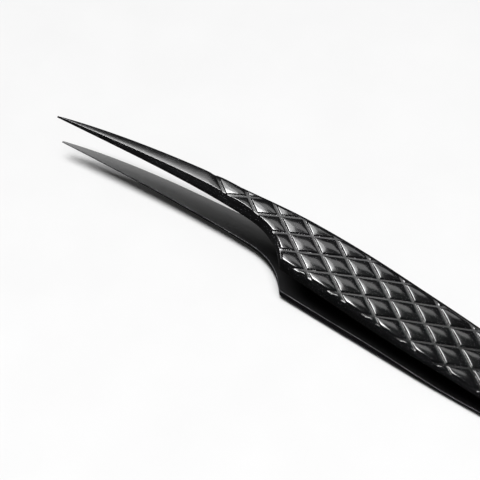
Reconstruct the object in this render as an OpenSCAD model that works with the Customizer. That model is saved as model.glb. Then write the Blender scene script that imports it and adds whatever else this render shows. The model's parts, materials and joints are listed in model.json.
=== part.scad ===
// Fine-point tweezers with side-swept tips and a diamond-cut grip.
//
// Two spring-steel arms are welded face to face at the tail and spring apart
// towards the tips. A concave notch on the near side sets the slim tips off from
// the grip.
//
// Row frame: +X towards the tail, -Y the notched near side, +Z up. The tweezers
// lie on the lower arm: its belly and the edge of its tail touch z = 0.
// The arms are drawn in the tweezers' own frame, where the tail end is at x = 0,
// the tips are at x = -total_len, and the arms meet in the plane z = 0. There,
// "station" means the distance from the tail end.

/* [Overall] */
// Length from the tail end to the tips
total_len = 130; // [115:1:150]
// Width across the grip
grip_w = 11; // [9:0.1:13]
// Width of the tail
tail_w = 7.8; // [6:0.1:9]
// Gap between the open tips
tip_gap = 6.6; // [5:0.1:8]
// Slope at which each arm leaves the weld, in degrees
spread_angle = 4.4; // [3.8:0.1:5.2]
// Station where the arm begins to bow back towards the middle plane
bow_from = 58; // [50:1:62]
// Length over which the arm bows
bow_len = 45; // [36:1:50]

/* [Arm thickness] */
// Thickness of the spring leaf at the tail
spring_t = 1.1; // [0.8:0.05:1.4]
// Thickness at the grip
grip_t = 2.4; // [1.8:0.05:2.9]
// Thickness at the very tip
tip_t = 0.3; // [0.2:0.05:0.5]
// Station where the thin spring leaf ends
spring_end = 41; // [34:1:46]
// Length over which the leaf thickens to the grip
thicken_len = 21; // [12:1:26]

/* [Tips and notch] */
// Station of the shoulder, where the notch meets the grip
shoulder_at = 77; // [72:1:84]
// Angle at which the notch runs into the shoulder, in degrees
shoulder_angle = 48; // [35:1:65]
// Radius that rounds the shoulder corner
shoulder_r = 0.8; // [0.4:0.1:1.4]
// Length of the concave notch, ahead of the shoulder
notch_len = 11; // [8:0.5:14]
// Depth of the notch below the grip's near edge
notch_depth = 4.8; // [3:0.1:5.5]
// How far the tips sweep from the centre line to the near side
tip_sweep = 3.6; // [2:0.1:5]
// Width of the very tip
tip_w = 0.35; // [0.25:0.05:0.6]
// Slope of the back edge at the tip, in degrees
back_slope = 18; // [12:0.5:22]
// Slope of the near edge at the tip, in degrees
near_slope = 6; // [3:0.5:12]

/* [Outer edges] */
// Width of the bevel along the outer edges of the grip
grip_bevel = 0.35; // [0.2:0.05:0.6]
// Width of the bevel along the tips, as a share of their thickness
tip_bevel = 0.6; // [0.3:0.05:0.7]
// Lean of the bevels from upright, in degrees
bevel_lean = 52; // [40:1:60]

/* [Diamond grip] */
// Width of one diamond
cell_w = 4.1; // [3:0.1:5]
// Angle between a groove and the long axis, in degrees
groove_angle = 31; // [25:1:40]
// Width of a groove
groove_w = 0.4; // [0.25:0.05:0.6]
// Depth of a groove
groove_d = 0.32; // [0.1:0.02:0.4]
// Station of the foremost groove crossing
grip_front = 93.4; // [85:0.2:96]
// Number of groove crossings along the arm
crossings = 10; // [6:1:10]

/* [Tail and weld] */
// Length over which the arms lie face to face
weld_len = 13; // [10:0.5:16]
// Radius of the tail's corners
tail_r = 3; // [1.5:0.1:3]
// Station where the grip begins to narrow towards the tail
narrow_from = 53; // [45:1:60]
// Diameter of a weld spot
spot_d = 2.6; // [2:0.1:3.2]
// Thickness of a weld spot, half in each leaf
spot_t = 0.8; // [0.4:0.1:1]
// Number of weld spots in a row
spots = 3; // [2:1:3]

/* [Flexing] */
// Station of the hinge line that stands for each arm's bending
flex_at = 26; // [22:1:30]
// Clearance at the hinge line
flex_gap = 0.06; // [0.04:0.01:0.1]

/* [Hidden] */
$fn = 64;
black_steel = "#1d1d20";
bright_steel = "#b9bcc2";
leaf_bend = 4;             // length over which the leaf bends away from the weld
back_lead = 19;            // tangent length of the back edge at the tip
back_reach = 19;           // tangent length of the back edge where it meets the grip
back_meets = shoulder_at - 15;
waist_lead = 5.5;          // tangent length of the notch at the waist
shoulder_lead = 3;         // tangent length of the notch at the shoulder
groove_reach = 2;          // how far grooves run past the arm's edges
taper_power = 0.86;        // below 1 the tips taper a little fuller than a straight wedge
bevel_change = 18;         // length ahead of the shoulder over which the bevels widen
run_out = 12;              // how far the bevels run on past the ends of the edges
cell_l = cell_w / tan(groove_angle);
half_w = grip_w / 2;
waist_at = shoulder_at + notch_len;
waist_y = notch_depth - half_w;

// 0 at t <= 0, 1 at t >= 1, with a smooth rise between
function ease(t) = let (u = min(max(t, 0), 1)) u * u * (3 - 2 * u);
// A line that leaves zero at d = 0 and bends to a slope of 1 over the length run
function ramp(d, run) = d <= 0 ? 0 : d < run ? d * d / (2 * run) : d - run / 2;
// Points a to b in n equal steps, without a
function steps(a, b, n) = [for (i = [1:n]) a + (b - a) * i / n];
// n + 1 points on a cubic Bezier curve
function curve(p0, p1, p2, p3, n) = [for (i = [0:n]) let (t = i / n, u = 1 - t)
    u * u * u * p0 + 3 * u * u * t * p1 + 3 * u * t * t * p2 + t * t * t * p3];
// n + 1 points on an arc about c
function arc(c, r, a0, a1, n) = [for (i = [0:n]) let (a = a0 + (a1 - a0) * i / n)
    c + r * [cos(a), sin(a)]];
function flip(points) = [for (i = [len(points) - 1:-1:0]) points[i]];

// Side view: an arm thickens from the leaf to the grip, then tapers from the shoulder to the tip
function leaf_to_grip(s) = spring_t + (grip_t - spring_t) * ease((s - spring_end) / thicken_len);
function tip_taper(s) = tip_t
    + (grip_t - tip_t) * pow((total_len - s) / (total_len - shoulder_at), taper_power);
function thickness(s) = s < shoulder_at ? leaf_to_grip(s) : tip_taper(s);
function straight_outer(s) = spring_t + tan(spread_angle) * ramp(s - weld_len, leaf_bend);
bow_slope = (straight_outer(total_len) - tip_t - tip_gap / 2) / ramp(total_len - bow_from, bow_len);
function outer(s) = straight_outer(s) - bow_slope * ramp(s - bow_from, bow_len);
function inner(s) = outer(s) - thickness(s);
stations = concat([0, weld_len], steps(weld_len, weld_len + leaf_bend, 4),
    steps(weld_len + leaf_bend, spring_end, 2), steps(spring_end, shoulder_at, 12),
    steps(shoulder_at, total_len, 18));

// Plan view: the tail end widens to the grip, and the edges then sweep to the tips
function tail_half_w(s) = tail_w / 2 + (grip_w - tail_w) / 2 * ease((s - tail_r) / (narrow_from - tail_r));
tip_back = [-total_len, tip_w / 2 - tip_sweep];
tip_near = [-total_len, -tip_w / 2 - tip_sweep];
waist = [-waist_at, waist_y];
corner = [-shoulder_at, shoulder_r - half_w];
into_corner = 270 - shoulder_angle;
corner_start = corner + shoulder_r * [cos(into_corner), sin(into_corner)];
corner_lead = shoulder_lead * [-cos(shoulder_angle), sin(shoulder_angle)];
near_lead = (total_len - waist_at) / 3;
back_edge = concat(
    curve(tip_back, tip_back + back_lead * [1, tan(back_slope)],
        [-back_meets - back_reach, half_w], [-back_meets, half_w], 28),
    [for (s = flip(steps(tail_r, narrow_from, 12))) [-s, tail_half_w(s)]]);
near_edge = concat(
    [for (s = steps(tail_r, narrow_from, 12)) [-s, -tail_half_w(s)]],
    arc(corner, shoulder_r, 270, into_corner, 6),
    curve(corner_start, corner_start + corner_lead, waist + [waist_lead, 0], waist, 16),
    curve(waist, waist - [near_lead, 0], tip_near + near_lead * [1, tan(near_slope)], tip_near, 16));

// Width of the bevel along an outer edge at a station
function bevel(s) = grip_bevel
    + (tip_bevel * thickness(s) - grip_bevel) * ease((s - shoulder_at) / bevel_change);

// Pose on the table: the tail edge and the fullest station of the bow both touch
rest_tilt = max([for (s = stations) s > 0 ? atan((outer(s) - spring_t) / s) : 0]);
rest_lift = spring_t * cos(rest_tilt);
tip_outer = tip_gap / 2 + tip_t;
rest_shift = (total_len * cos(rest_tilt) + (tip_outer - spring_t) * sin(rest_tilt)) / 2;

module on_table() {
    translate([rest_shift, 0, rest_lift]) rotate([0, rest_tilt, 0]) children();
}

// Outline of an arm seen from above
module plan_outline() {
    tail_back = arc([-tail_r, tail_w / 2 - tail_r], tail_r, 90, 0, 10);
    tail_near = arc([-tail_r, tail_r - tail_w / 2], tail_r, 0, -90, 10);
    polygon(concat(back_edge, tail_back, tail_near, near_edge));
}

// What lies inside the bevel of one outer edge: side is 1 for the back edge, -1 for the near edge.
// The edge is traced where the bevel's slope, carried on downwards, would cross z = 0.
module inside_bevel(side, edge) {
    traced = [for (p = edge) [p[0], cos(bevel_lean)
        * (side * p[1] - bevel(-p[0]) + outer(-p[0]) * tan(bevel_lean))]];
    first = traced[0];
    last = traced[len(traced) - 1];
    beyond = sign(last[0] - first[0]) * run_out;
    mirror([0, side < 0 ? 1 : 0, 0]) rotate([bevel_lean, 0, 0])
        linear_extrude(height = 2 * total_len, center = true)
            polygon(concat([first - [beyond, 0]], traced, [last + [beyond, 0],
                [last[0] + beyond, -total_len], [first[0] - beyond, -total_len]]));
}

// A solid whose side view lies between the curves low and high, across the arm
module side_solid(low, high) {
    rotate([90, 0, 0]) linear_extrude(height = 3 * grip_w, center = true)
        polygon(concat([for (i = [0:len(stations) - 1]) [-stations[i], high[i]]],
            flip([for (i = [0:len(stations) - 1]) [-stations[i], low[i]]])));
}

// The grooves of the diamond grip, seen from above
module groove_lines() {
    length = (grip_w + 2 * groove_reach) / sin(groove_angle);
    for (i = [0:crossings - 1], side = [-1, 1])
        translate([i * cell_l - grip_front, 0]) rotate(side * groove_angle)
            square([length, groove_w], center = true);
}

// One whole arm, on the upper side of the middle plane
module whole_arm() {
    tallest = 3 * total_len;
    difference() {
        intersection() {
            linear_extrude(height = tallest, center = true) plan_outline();
            side_solid([for (s = stations) inner(s)], [for (s = stations) outer(s)]);
            inside_bevel(1, back_edge);
            inside_bevel(-1, near_edge);
        }
        intersection() {
            linear_extrude(height = tallest, center = true) groove_lines();
            side_solid([for (s = stations) outer(s) - groove_d], [for (s = stations) outer(s) + grip_t]);
        }
        weld_spot_row();
    }
}

// The stretch of an arm between two stations
module arm_stretch(from, to) {
    intersection() {
        whole_arm();
        translate([-to, -grip_w, -total_len / 2]) cube([to - from, 2 * grip_w, total_len]);
    }
}

module weld_spot_row() {
    pitch = weld_len / spots;
    for (i = [0:spots - 1])
        translate([-(i + 0.5) * pitch, 0, -spot_t / 2]) cylinder(d = spot_d, h = spot_t);
}

module upper_arm() {
    color(black_steel) on_table() arm_stretch(flex_at + flex_gap / 2, total_len + 1);
}

module lower_arm() {
    color(black_steel) on_table() mirror([0, 0, 1]) arm_stretch(flex_at + flex_gap / 2, total_len + 1);
}

module upper_tail_leaf() {
    color(black_steel) on_table() arm_stretch(-1, flex_at - flex_gap / 2);
}

module lower_tail_leaf() {
    color(black_steel) on_table() mirror([0, 0, 1]) arm_stretch(-1, flex_at - flex_gap / 2);
}

module weld_spots() {
    color(bright_steel) on_table() weld_spot_row();
}

upper_arm();
lower_arm();
upper_tail_leaf();
lower_tail_leaf();
weld_spots();
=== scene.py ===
"""Looks of the fine-point eyelash tweezers: two black arms with a diamond-cut grip, on a pale floor.

The arms are drawn in the tweezers' own frame, in millimetres, as the CAD part draws them. The tail end
is at x = 0, the tips are at x = -TOTAL_LEN, and the arms meet in the plane z = 0. A "station" is a
distance from the tail end. The pose on the table comes from the frame.
"""

import json
import math

import bpy
import numpy as np
from mathutils import Matrix, Vector


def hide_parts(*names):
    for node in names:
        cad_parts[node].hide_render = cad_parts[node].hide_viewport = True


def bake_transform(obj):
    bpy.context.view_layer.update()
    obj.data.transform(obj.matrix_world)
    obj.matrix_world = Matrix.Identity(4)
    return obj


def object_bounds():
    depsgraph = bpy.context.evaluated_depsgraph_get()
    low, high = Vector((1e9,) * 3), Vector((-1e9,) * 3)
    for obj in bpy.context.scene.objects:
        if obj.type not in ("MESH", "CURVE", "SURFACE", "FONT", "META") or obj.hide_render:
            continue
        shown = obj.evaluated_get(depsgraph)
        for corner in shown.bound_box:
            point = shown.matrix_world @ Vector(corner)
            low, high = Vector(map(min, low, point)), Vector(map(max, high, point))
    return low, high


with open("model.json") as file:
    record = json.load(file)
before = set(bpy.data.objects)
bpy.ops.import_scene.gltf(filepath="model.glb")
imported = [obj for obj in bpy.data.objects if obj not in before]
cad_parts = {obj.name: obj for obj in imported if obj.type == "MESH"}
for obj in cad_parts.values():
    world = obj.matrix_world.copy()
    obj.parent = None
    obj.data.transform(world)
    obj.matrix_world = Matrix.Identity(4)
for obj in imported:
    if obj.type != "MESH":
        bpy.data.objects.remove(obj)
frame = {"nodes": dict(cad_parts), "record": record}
cad_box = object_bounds()

MM = 0.001

# Sizes shared with the CAD part, in millimetres and degrees
TOTAL_LEN = 130
GRIP_W = 11
TAIL_W = 7.8
TIP_GAP = 6.6
SPREAD_ANGLE = 4.4
BOW_FROM = 58
BOW_LEN = 45
SPRING_T = 1.1
GRIP_T = 2.4
TIP_T = 0.3
SPRING_END = 41
THICKEN_LEN = 21
SHOULDER_AT = 77
SHOULDER_ANGLE = 48
SHOULDER_R = 0.8
NOTCH_LEN = 11
NOTCH_DEPTH = 4.8
TIP_SWEEP = 3.6
TIP_W = 0.35
BACK_SLOPE = 18
NEAR_SLOPE = 6
CELL_W = 4.1
GROOVE_ANGLE = 31
GROOVE_W = 0.4
GROOVE_D = 0.32
GRIP_FRONT = 93.4
CROSSINGS = 10
WELD_LEN = 13
TAIL_R = 3
NARROW_FROM = 53
LEAF_BEND = 4
BACK_LEAD = 19
BACK_REACH = 19
TAPER_POWER = 0.86
GRIP_BEVEL = 0.35
TIP_BEVEL = 0.6
BEVEL_LEAN = 52
BEVEL_CHANGE = 18
BACK_MEETS = SHOULDER_AT - 15
WAIST_LEAD = 5.5
SHOULDER_LEAD = 3
HALF_W = GRIP_W / 2
CELL_L = CELL_W / math.tan(math.radians(GROOVE_ANGLE))

# Finer shape that only the looks have, in millimetres
CORNER_POWER = 10        # how square the outer corners of a cross-section are
BEVEL_ROUND = 0.3        # length over which the outer face bends into a bevel, where the arm is widest
TIP_CROWN = 0.08         # fall of the tip's outer face towards its edges, per millimetre of half width
INNER_CHAMFER = 0.1      # bevel along the inner edges
CHAMFER_SHARE = 5        # the bevel takes at most one part in this many of the thickness or width
SKIN = 0.01              # how far the outer side and the edges stay inside the CAD part
WALL_W = 0.26            # width of a groove's sloping wall
WALL_SHARE = 0.42        # share of the groove's depth that the steep wall takes
DOME_POWER = 2.3         # how much steeper a diamond is at its border than at its middle
RIM_W = 0.4              # width of the rounding that ends the cut diamonds along the arm's edges
NEAR_RIM = 0.42          # distance from the near edge to the cut diamonds' rim
FAR_RIM = 0.75           # the same at the far edge
STEEPEST_EDGE = 2        # steepest slope of an edge that the rims' distances allow for
RIM_END = 97             # station where the rims have run out
CUT_END = 103            # station where the grooves have run out
FADE = 6                 # length over which rims and grooves run out
WELD_SPOTS = 3
WELD_MARK_R = 1.3
WELD_MARK_D = 0.06       # depth of the marks that the weld spots leave on the outer faces
WELD_MARK_STEEP = 1.5    # how steeply a mark's side falls to its flat floor

# How finely the arms are meshed
BACK_STEPS = 200         # points along the back edge's curve
NEAR_STEPS = 100         # points along each of the near edge's curves
SHOULDER_POINTS = 20     # points round the shoulder's corner
END_RINGS = 12           # cross-sections in the tail's corner, and as many at the tip
TIP_END = 3              # length of the tip that has them
LEAF_STEP = 0.25         # distance between cross-sections along the leaf
GRIP_STEP = 0.12
TIP_STEP = 0.5
ACROSS = 151             # points across the outer side
FLAT_SHARE = 0.88        # share of those points that lie on the flat of the outer side
FLAT_REACH = 0.9         # how far the flat reaches, as a share of the half width
INNER_STEPS = 10         # points across the inner side
NUDGE = 0.004            # small step for slopes

# Looks. Pairs are the darkest and lightest colour, or the ends of a range. Grains and clouds are noise
# scales per metre, and heights are in metres.
NOISE_RANGE = (0.3, 0.7)
GLOSS_COLOURS = ((0.001, 0.001, 0.0011), (0.0025, 0.0025, 0.0027))
GLOSS_ROUGHNESS = (0.14, 0.18)
GLOSS_SPECULAR = 0.5
GLOSS_CLOUD = (300, 300, 300)
PEEL_GRAIN = (2600, 2600, 2600)
PEEL_HEIGHT = 0.0015 * MM
SATIN_COLOURS = ((0.0015, 0.0015, 0.0016), (0.003, 0.003, 0.0032))
SATIN_ROUGHNESS = (0.36, 0.46)
SATIN_CLOUD = (200, 300, 300)
BRUSH_GRAIN = (150, 9000, 9000)
BRUSH_HEIGHT = 0.002 * MM
PAINTED_SHADE_LEN = 38          # millimetres over which the painted shade dims the inner faces' shine away from the tips
PAINTED_SHADE_ACROSS = 2.5      # how much faster the painted shade dims it across an arm, towards the near edge, than along it
PAINTED_SHADE_SPECULAR = (0.55, 0.03)
# Lighter grey along the inner edges: a painted highlight
EDGE_HIGHLIGHT_COLOURS = ((0.012, 0.012, 0.013), (0.045, 0.045, 0.047))
EDGE_HIGHLIGHT_ROUGHNESS = (0.4, 0.3)
EDGE_HIGHLIGHT_GRAIN = (400, 900, 900)
EDGE_HIGHLIGHT_HEIGHT = 0.001 * MM
STEEL_COLOURS = ((0.4, 0.4, 0.42), (0.6, 0.6, 0.62))
STEEL_ROUGHNESS = (0.3, 0.5)
RIPPLE_GRAIN = (1500, 1500, 1500)
RIPPLE_HEIGHT = 0.01 * MM
FLOOR_COLOURS = ((0.79, 0.79, 0.79), (0.81, 0.81, 0.81))
FLOOR_ROUGHNESS = 0.9
FLOOR_GRAIN = (60, 60, 60)
FLOOR_SIZE = 6

# Camera and lamps, with angles in degrees and lengths in metres
CENTRE = Vector((-23.4, -2.3, 5)) * MM
CAMERA_AZIMUTH = -46
CAMERA_ELEVATION = 50.12
CAMERA_DISTANCE = 223.8 * MM
CAMERA_ROLL = -6.05
FOCAL_LENGTH = 97.5
CLIP_START = 0.01
LAMP_DISTANCE = 1.2
WORLD_STRENGTH = 0.03


def ease(t):
    u = np.clip(t, 0, 1)
    return u * u * (3 - 2 * u)


def ramp(d, run):
    """A line that leaves zero at d = 0 and bends to a slope of 1 over the length run."""
    d = np.asarray(d, float)
    return np.where(d <= 0, 0, np.where(d < run, d * d / (2 * run), d - run / 2))


def curve(p0, p1, p2, p3, n):
    """n + 1 points on a cubic Bezier curve."""
    t = np.linspace(0, 1, n + 1)[:, None]
    u = 1 - t
    p0, p1, p2, p3 = (np.array(p, float) for p in (p0, p1, p2, p3))
    return u**3 * p0 + 3 * u * u * t * p1 + 3 * u * t * t * p2 + t**3 * p3


def straight_outer(s):
    return SPRING_T + math.tan(math.radians(SPREAD_ANGLE)) * ramp(s - WELD_LEN, LEAF_BEND)


BOW_SLOPE = (straight_outer(TOTAL_LEN) - TIP_T - TIP_GAP / 2) / ramp(TOTAL_LEN - BOW_FROM, BOW_LEN)


def outer(s):
    return straight_outer(s) - BOW_SLOPE * ramp(s - BOW_FROM, BOW_LEN)


def thickness(s):
    leaf_to_grip = SPRING_T + (GRIP_T - SPRING_T) * ease((s - SPRING_END) / THICKEN_LEN)
    to_tip = np.clip((TOTAL_LEN - s) / (TOTAL_LEN - SHOULDER_AT), 0, 1)
    tip_taper = TIP_T + (GRIP_T - TIP_T) * to_tip**TAPER_POWER
    return np.where(s < SHOULDER_AT, leaf_to_grip, tip_taper)


def tail_half_w(s):
    """Half the width of the tail and the grip, with the tail's round corners."""
    corner = TAIL_R - np.sqrt(np.clip(TAIL_R**2 - np.clip(TAIL_R - s, 0, TAIL_R) ** 2, 0, None))
    return TAIL_W / 2 + (GRIP_W - TAIL_W) / 2 * ease((s - TAIL_R) / (NARROW_FROM - TAIL_R)) - corner


def far_edge(s):
    """y of the far edge at a station."""
    tip = np.array([-TOTAL_LEN, TIP_W / 2 - TIP_SWEEP])
    lead = BACK_LEAD * np.array([1, math.tan(math.radians(BACK_SLOPE))])
    back = curve(tip, tip + lead, (-BACK_MEETS - BACK_REACH, HALF_W), (-BACK_MEETS, HALF_W), BACK_STEPS)
    return np.where(s < BACK_MEETS, tail_half_w(s), np.interp(-s, back[:, 0], back[:, 1]))


def near_edge(s):
    """y of the near edge, which the notch cuts, at a station."""
    tip = np.array([-TOTAL_LEN, -TIP_W / 2 - TIP_SWEEP])
    waist = np.array([-SHOULDER_AT - NOTCH_LEN, NOTCH_DEPTH - HALF_W])
    lead = (TOTAL_LEN - SHOULDER_AT - NOTCH_LEN) / 3
    tip_lead = lead * np.array([1, math.tan(math.radians(NEAR_SLOPE))])
    near = curve(tip, tip + tip_lead, waist - (lead, 0), waist, NEAR_STEPS)
    into_corner = math.radians(270 - SHOULDER_ANGLE)
    corner = np.array([-SHOULDER_AT, SHOULDER_R - HALF_W])
    start = corner + SHOULDER_R * np.array([math.cos(into_corner), math.sin(into_corner)])
    slope = math.radians(SHOULDER_ANGLE)
    into_shoulder = SHOULDER_LEAD * np.array([-math.cos(slope), math.sin(slope)])
    notch = curve(waist, waist + (WAIST_LEAD, 0), start + into_shoulder, start, NEAR_STEPS)
    turn = np.linspace(into_corner, math.radians(270), SHOULDER_POINTS)
    shoulder = corner + SHOULDER_R * np.stack([np.cos(turn), np.sin(turn)], 1)
    outline = np.concatenate([near, notch, shoulder])
    return np.where(s < SHOULDER_AT, -tail_half_w(s), np.interp(-s, outline[:, 0], outline[:, 1]))


def groove_distance(x, y):
    """Distance from each point to the nearest groove's edge, one value for each of the two families."""
    angle = math.radians(GROOVE_ANGLE)
    found = []
    for side in (-1, 1):
        along = (x + GRIP_FRONT - side * y / math.tan(angle)) / CELL_L
        line = np.clip(np.round(along), 0, CROSSINGS - 1)
        found.append(np.abs(along - line) * CELL_L * math.sin(angle) - GROOVE_W / 2)
    return found


def rounded(distance, width):
    """Rises from 0 to 1 over a width, steep at first and level at the end."""
    return 1 - (1 - np.clip(distance / width, 0, 1)) ** 2


def dome(distance):
    """Height of a diamond's domed top, from 0 to 1, at a distance inside one of its borders."""
    reach = (CELL_L * math.sin(math.radians(GROOVE_ANGLE)) - GROOVE_W) / 2
    return 1 - (1 - np.clip(distance / reach, 0, 1)) ** DOME_POWER


def run_out(s, end):
    """1 along the grip, falling to 0 at a station ahead of it and at the same distance behind it."""
    back = GRIP_FRONT - (CROSSINGS - 1) * CELL_L
    return ease((end - s) / FADE) * ease((s - back + end - GRIP_FRONT) / FADE)


def relief(s, y, to_near, to_far):
    """Height above the grooves' floors, from 0 to 1."""
    first, second = groove_distance(-s, y)
    walls = np.minimum(rounded(first, WALL_W), rounded(second, WALL_W))
    rims = np.minimum(rounded(to_near - NEAR_RIM, RIM_W), rounded(to_far - FAR_RIM, RIM_W))
    diamonds = walls * (WALL_SHARE + (1 - WALL_SHARE) * dome(first) * dome(second))
    return (1 - (1 - rims) * run_out(s, RIM_END)) * (1 - (1 - diamonds) * run_out(s, CUT_END))


def ring_stations():
    """Stations of the arm's cross-sections, close together at the diamonds and at both ends."""
    corner = TAIL_R * (1 - np.cos(np.linspace(0, math.pi / 2, END_RINGS)))
    groove_run = HALF_W / math.tan(math.radians(GROOVE_ANGLE))
    grip_back = GRIP_FRONT - (CROSSINGS - 1) * CELL_L - groove_run
    return np.concatenate([corner,
                           np.arange(TAIL_R + LEAF_STEP, grip_back, LEAF_STEP),
                           np.arange(grip_back, CUT_END, GRIP_STEP),
                           np.arange(CUT_END, TOTAL_LEN - TIP_END, TIP_STEP),
                           np.linspace(TOTAL_LEN - TIP_END, TOTAL_LEN, END_RINGS)])


def weld_mark(s, y):
    """Depth of the weld spots' marks, from 0 to 1."""
    pitch = WELD_LEN / WELD_SPOTS
    centre = (np.clip(np.round(s / pitch - 0.5), 0, WELD_SPOTS - 1) + 0.5) * pitch
    return ease(WELD_MARK_STEEP * (1 - np.hypot(s - centre, y) / WELD_MARK_R))


def bevel(s):
    """Width of the bevel along the outer edges."""
    return GRIP_BEVEL + (TIP_BEVEL * thickness(s) - GRIP_BEVEL) * ease((s - SHOULDER_AT) / BEVEL_CHANGE)


def chamfer(s):
    """Size of the bevel along the inner edges."""
    return np.minimum(INNER_CHAMFER, np.minimum(thickness(s), far_edge(s) - near_edge(s)) / CHAMFER_SHARE)


def edge_lean(edge, s):
    """How much longer the way across the arm to a sloping edge is than the way square to that edge."""
    slope = (edge(s + NUDGE) - edge(s)) / NUDGE
    return np.hypot(1, np.clip(slope, -STEEPEST_EDGE, STEEPEST_EDGE))


def outer_face(s, across):
    """Points of the upper arm's outer side. across runs from -1 at the near edge to 1 at the far edge."""
    near, far = near_edge(s) + SKIN, far_edge(s) - SKIN
    corner = np.arccos(FLAT_REACH ** (CORNER_POWER / 2)) * (1 - np.abs(across)) / (1 - FLAT_SHARE)
    on_corner = np.clip(np.cos(np.clip(corner, 0, math.pi / 2)), 0, 1) ** (2 / CORNER_POWER)
    on_flat = np.abs(across) * FLAT_REACH / FLAT_SHARE
    place = np.where(np.abs(across) < FLAT_SHARE, on_flat, on_corner)
    half = (far - near) / 2
    y = (near + far) / 2 + half * place * np.sign(across)
    height = np.clip(1 - place**CORNER_POWER, 0, 1) ** (1 / CORNER_POWER)
    bend = BEVEL_ROUND * (far - near) / GRIP_W
    in_bevel = (ramp(bevel(s) + bend / 2 - (y - near), bend)
                + ramp(bevel(s) + bend / 2 - (far - y), bend))
    to_near = (y - near) / edge_lean(near_edge, s)
    to_far = (far - y) / edge_lean(far_edge, s)
    cut = GROOVE_D * (1 - relief(s, y, to_near, to_far))
    crown = TIP_CROWN * half * place**2 * ease((s - SHOULDER_AT) / BEVEL_CHANGE)
    bevel_fall = in_bevel / math.tan(math.radians(BEVEL_LEAN))
    fall = cut + bevel_fall + crown + WELD_MARK_D * weld_mark(s, y)
    low = outer(s) - thickness(s) + chamfer(s)
    z = low + (outer(s) - SKIN - fall - low) * height
    return np.stack([-s + 0 * y, y, z], axis=-1)


def inner_face(s, across):
    """Points of the upper arm's inner side, which is flat across."""
    near, far = near_edge(s) + SKIN + chamfer(s), far_edge(s) - SKIN - chamfer(s)
    y = near + (far - near) * (1 + across) / 2
    return np.stack([-s + 0 * y, y, outer(s) - thickness(s) + 0 * y], axis=-1)


def arm_mesh(name, side):
    """One whole arm, posed on the table, from the tail end to the tip. side is 1 above, -1 below.

    The outer side's shading follows the exact surface, and the other faces are shaded flat. The material
    is 0 on the outer side, 1 on the inner side and 2 along the inner edges.
    """
    s = ring_stations()[:, None]
    across = np.linspace(1, -1, ACROSS)[None, :]
    inner = inner_face(s, np.linspace(-1, 1, INNER_STEPS)[None, :])
    points = np.concatenate([inner, outer_face(s, across)], axis=1)
    along = outer_face(s + NUDGE, across) - outer_face(s - NUDGE, across)
    over = outer_face(s, np.clip(across + NUDGE, -1, 1)) - outer_face(s, np.clip(across - NUDGE, -1, 1))
    normals = np.concatenate([0 * inner, np.cross(over, along)], axis=1)
    flip = np.array([1, 1, side])
    turn, move = np.array(pose.to_3x3()), np.array(pose.translation)
    rings, count = points.shape[:2]
    points = (points * flip).reshape(-1, 3) * MM @ turn.T + move
    normals = (normals * flip).reshape(-1, 3) @ turn.T

    ring, place = np.meshgrid(np.arange(rings - 1), np.arange(count), indexing="ij")
    beside = (place + 1) % count
    faces = np.stack([ring * count + place, ring * count + beside,
                      (ring + 1) * count + beside, (ring + 1) * count + place], axis=-1).reshape(-1, 4)
    ends = [np.arange(count)[::-1], np.arange(count) + (rings - 1) * count]
    if side > 0:
        faces, ends = faces[:, ::-1], [end[::-1] for end in ends]
    mesh = bpy.data.meshes.new(name)
    mesh.from_pydata(points, [], faces.tolist() + [end.tolist() for end in ends])
    strip = np.append(place.ravel(), [count, count])
    edges = (strip == INNER_STEPS - 1) | (strip == count - 1)
    material_index = np.where(strip < INNER_STEPS - 1, 1, np.where(edges, 2, 0))
    mesh.polygons.foreach_set("material_index", material_index.astype(np.int32))

    flat = np.empty(len(mesh.polygons) * 3)
    mesh.polygons.foreach_get("normal", flat)
    sides = np.empty(len(mesh.polygons), np.int32)
    mesh.polygons.foreach_get("loop_total", sides)
    vertices = np.empty(len(mesh.loops), np.int32)
    mesh.loops.foreach_get("vertex_index", vertices)
    outside = (strip >= INNER_STEPS) & (strip < count - 1)
    shading = np.where(np.repeat(outside, sides)[:, None], normals[vertices],
                       np.repeat(flat.reshape(-1, 3), sides, axis=0))
    shading /= np.linalg.norm(shading, axis=1)[:, None]
    mesh.normals_split_custom_set(shading.tolist())
    return mesh


def tail_pose():
    """The transform from the tweezers' own frame to the pose on the table, read from the tail's mount."""
    mount = next(m for m in frame["record"]["mounts"] if m["name"] == "tail_top_face")
    tilt = math.atan2(mount["axis"][0], mount["axis"][2])
    turn = Matrix.Rotation(tilt, 4, "Y")
    mount_place = Vector((-WELD_LEN / 2, 0, SPRING_T)) * MM
    return Matrix.Translation(Vector(mount["pos_m"]) - turn @ mount_place) @ turn


def material(name):
    """A new node material: its nodes, its links and its Principled shader."""
    made = bpy.data.materials.new(name)
    made.use_nodes = True
    nodes, links = made.node_tree.nodes, made.node_tree.links
    return made, nodes, links, nodes["Principled BSDF"]


def noise(nodes, links, grain, detail=3):
    """Noise over the object's own coordinates, with a scale per metre along each axis."""
    place = nodes.new("ShaderNodeTexCoord")
    mapping = nodes.new("ShaderNodeMapping")
    mapping.inputs["Scale"].default_value = grain
    texture = nodes.new("ShaderNodeTexNoise")
    texture.inputs["Scale"].default_value = 1
    texture.inputs["Detail"].default_value = detail
    links.new(place.outputs["Object"], mapping.inputs["Vector"])
    links.new(mapping.outputs["Vector"], texture.inputs["Vector"])
    return texture.outputs["Fac"]


def spread(nodes, links, source, taken, given):
    """Maps the range taken from the source onto the range given, clamped at both ends."""
    scale = nodes.new("ShaderNodeMapRange")
    scale.inputs["From Min"].default_value, scale.inputs["From Max"].default_value = taken
    scale.inputs["To Min"].default_value, scale.inputs["To Max"].default_value = given
    links.new(source, scale.inputs["Value"])
    return scale.outputs["Result"]


def two_tone(nodes, links, source, colours):
    """Maps noise onto a range of colours."""
    ramp_node = nodes.new("ShaderNodeValToRGB")
    for stop, position, colour in zip(ramp_node.color_ramp.elements, NOISE_RANGE, colours):
        stop.position = position
        stop.color = (*colour, 1)
    links.new(source, ramp_node.inputs["Fac"])
    return ramp_node.outputs["Color"]


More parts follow.
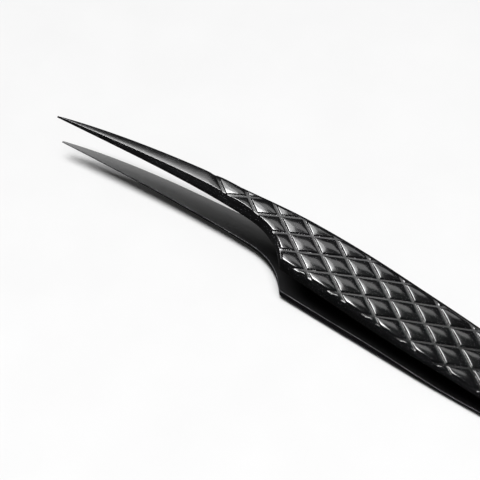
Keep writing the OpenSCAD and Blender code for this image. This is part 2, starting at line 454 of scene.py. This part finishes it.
def bump(nodes, links, source, height, shader):
    """Raises the surface by noise, with height in metres."""
    raised = nodes.new("ShaderNodeBump")
    raised.inputs["Distance"].default_value = height
    raised.inputs["Strength"].default_value = 1
    links.new(source, raised.inputs["Height"])
    links.new(raised.outputs["Normal"], shader.inputs["Normal"])


def gloss_black():
    """The coating on the outer faces: near black, smooth, with a faint orange-peel surface."""
    made, nodes, links, shader = material("gloss_black")
    cloud = noise(nodes, links, GLOSS_CLOUD)
    peel = noise(nodes, links, PEEL_GRAIN, detail=2)
    links.new(two_tone(nodes, links, cloud, GLOSS_COLOURS), shader.inputs["Base Color"])
    links.new(spread(nodes, links, cloud, NOISE_RANGE, GLOSS_ROUGHNESS), shader.inputs["Roughness"])
    shader.inputs["Specular IOR Level"].default_value = GLOSS_SPECULAR
    bump(nodes, links, peel, PEEL_HEIGHT, shader)
    return made


def satin_black():
    """The inner faces, brushed along the arm, with painted shade: their shine is made to fall away from
    the tips and towards the near edge.
    """
    made, nodes, links, shader = material("satin_black")
    cloud = noise(nodes, links, SATIN_CLOUD)
    brushed = noise(nodes, links, BRUSH_GRAIN, detail=4)
    links.new(two_tone(nodes, links, cloud, SATIN_COLOURS), shader.inputs["Base Color"])
    links.new(spread(nodes, links, brushed, NOISE_RANGE, SATIN_ROUGHNESS), shader.inputs["Roughness"])
    # Painted shade: the inner faces' shine is made to fall away from the tips and towards the near edge
    place = nodes.new("ShaderNodeTexCoord")
    from_tip = nodes.new("ShaderNodeVectorMath")
    from_tip.operation = "DOT_PRODUCT"
    from_tip.inputs[1].default_value = (1, -PAINTED_SHADE_ACROSS, 0)
    links.new(place.outputs["Object"], from_tip.inputs[0])
    tip = cad_box[0][0] + PAINTED_SHADE_ACROSS * TIP_SWEEP * MM
    painted_shade = spread(nodes, links, from_tip.outputs["Value"], (tip, tip + PAINTED_SHADE_LEN * MM), PAINTED_SHADE_SPECULAR)
    links.new(painted_shade, shader.inputs["Specular IOR Level"])
    bump(nodes, links, brushed, BRUSH_HEIGHT, shader)
    return made


def painted_edge_highlight():
    """The inner edges, coloured a lighter grey than the black faces as a painted highlight along them."""
    made, nodes, links, shader = material("painted_edge_highlight")
    highlight_grain = noise(nodes, links, EDGE_HIGHLIGHT_GRAIN, detail=4)
    links.new(two_tone(nodes, links, highlight_grain, EDGE_HIGHLIGHT_COLOURS), shader.inputs["Base Color"])
    links.new(spread(nodes, links, highlight_grain, NOISE_RANGE, EDGE_HIGHLIGHT_ROUGHNESS), shader.inputs["Roughness"])
    bump(nodes, links, highlight_grain, EDGE_HIGHLIGHT_HEIGHT, shader)
    return made


def weld_steel():
    """The bare fused steel of the weld spots."""
    made, nodes, links, shader = material("weld_steel_look")
    ripples = noise(nodes, links, RIPPLE_GRAIN, detail=5)
    links.new(two_tone(nodes, links, ripples, STEEL_COLOURS), shader.inputs["Base Color"])
    links.new(spread(nodes, links, ripples, NOISE_RANGE, STEEL_ROUGHNESS), shader.inputs["Roughness"])
    shader.inputs["Metallic"].default_value = 1
    bump(nodes, links, ripples, RIPPLE_HEIGHT, shader)
    return made


def floor_white():
    """Pale matt table top."""
    made, nodes, links, shader = material("floor_white")
    cloud = noise(nodes, links, FLOOR_GRAIN)
    links.new(two_tone(nodes, links, cloud, FLOOR_COLOURS), shader.inputs["Base Color"])
    shader.inputs["Roughness"].default_value = FLOOR_ROUGHNESS
    shader.inputs["Specular IOR Level"].default_value = 0
    return made


def direction(azimuth, elevation):
    """Unit vector towards an azimuth and an elevation, in degrees."""
    a, e = math.radians(azimuth), math.radians(elevation)
    return Vector((math.cos(a) * math.cos(e), math.sin(a) * math.cos(e), math.sin(e)))


def softbox(name, azimuth, elevation, width, height, radiance):
    """An elliptical lamp that faces the object, as wide and high as two angles, with a given radiance."""
    lamp = bpy.data.lights.new(name, "AREA")
    lamp.shape = "ELLIPSE"
    lamp.size = 2 * LAMP_DISTANCE * math.tan(math.radians(width / 2))
    lamp.size_y = 2 * LAMP_DISTANCE * math.tan(math.radians(height / 2))
    area = math.pi * lamp.size * lamp.size_y / 4
    lamp.energy = math.pi * radiance * area
    made = bpy.data.objects.new(name, lamp)
    towards = direction(azimuth, elevation)
    made.location = CENTRE + LAMP_DISTANCE * towards
    made.rotation_euler = towards.to_track_quat("Z", "Y").to_euler()
    bpy.context.scene.collection.objects.link(made)
    return made


# The arms
pieces = []
pose = tail_pose()
looks = [gloss_black(), satin_black(), painted_edge_highlight()]
for arm_name, tail_name, side in (("upper_arm", "upper_tail_leaf", 1),
                                  ("lower_arm", "lower_tail_leaf", -1)):
    piece = bpy.data.objects.new(arm_name + "_strip", arm_mesh(arm_name + "_strip", side))
    bpy.context.scene.collection.objects.link(piece)
    for look in looks:
        piece.data.materials.append(look)
    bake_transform(piece)
    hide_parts(arm_name, tail_name)
    pieces.append(piece)

weld = frame["nodes"]["weld_spots"]
weld.data.materials.clear()
weld.data.materials.append(weld_steel())

# Floor
bpy.ops.mesh.primitive_plane_add(size=FLOOR_SIZE)
floor = bpy.context.object
floor.name = "floor"
floor.data.materials.append(floor_white())
floor.visible_glossy = False

# Camera
view = direction(CAMERA_AZIMUTH, CAMERA_ELEVATION)
camera = bpy.data.objects.new("camera", bpy.data.cameras.new("camera"))
camera.data.lens = FOCAL_LENGTH
camera.data.clip_start = CLIP_START
roll = Matrix.Rotation(math.radians(CAMERA_ROLL), 4, "Z")
camera.matrix_world = (Matrix.Translation(CENTRE + CAMERA_DISTANCE * view)
                       @ view.to_track_quat("Z", "Y").to_matrix().to_4x4() @ roll)
bpy.context.scene.collection.objects.link(camera)
bpy.context.scene.camera = camera

# Light: three softboxes light only the tweezers, and two lamps that don't show in reflections light all
tweezers = bpy.data.collections.new("lit_by_softboxes")
for lit in pieces + [weld]:
    tweezers.objects.link(lit)
for shine in (softbox("key", azimuth=182, elevation=66, width=20, height=40, radiance=38),
              softbox("halo", azimuth=163, elevation=61, width=30, height=34, radiance=8),
              softbox("panel", azimuth=118, elevation=55, width=36, height=20, radiance=2.8)):
    shine.light_linking.receiver_collection = tweezers
for plain in (softbox("sky", azimuth=-50, elevation=75, width=80, height=80, radiance=0.12),
              softbox("overhead", azimuth=-50, elevation=79, width=24, height=24, radiance=27)):
    plain.visible_glossy = False
world = bpy.data.worlds.new("studio")
world.use_nodes = True
background = world.node_tree.nodes["Background"]
background.inputs["Color"].default_value = (1, 1, 1, 1)
background.inputs["Strength"].default_value = WORLD_STRENGTH
bpy.context.scene.world = world
bpy.context.scene.view_settings.view_transform = "Standard"
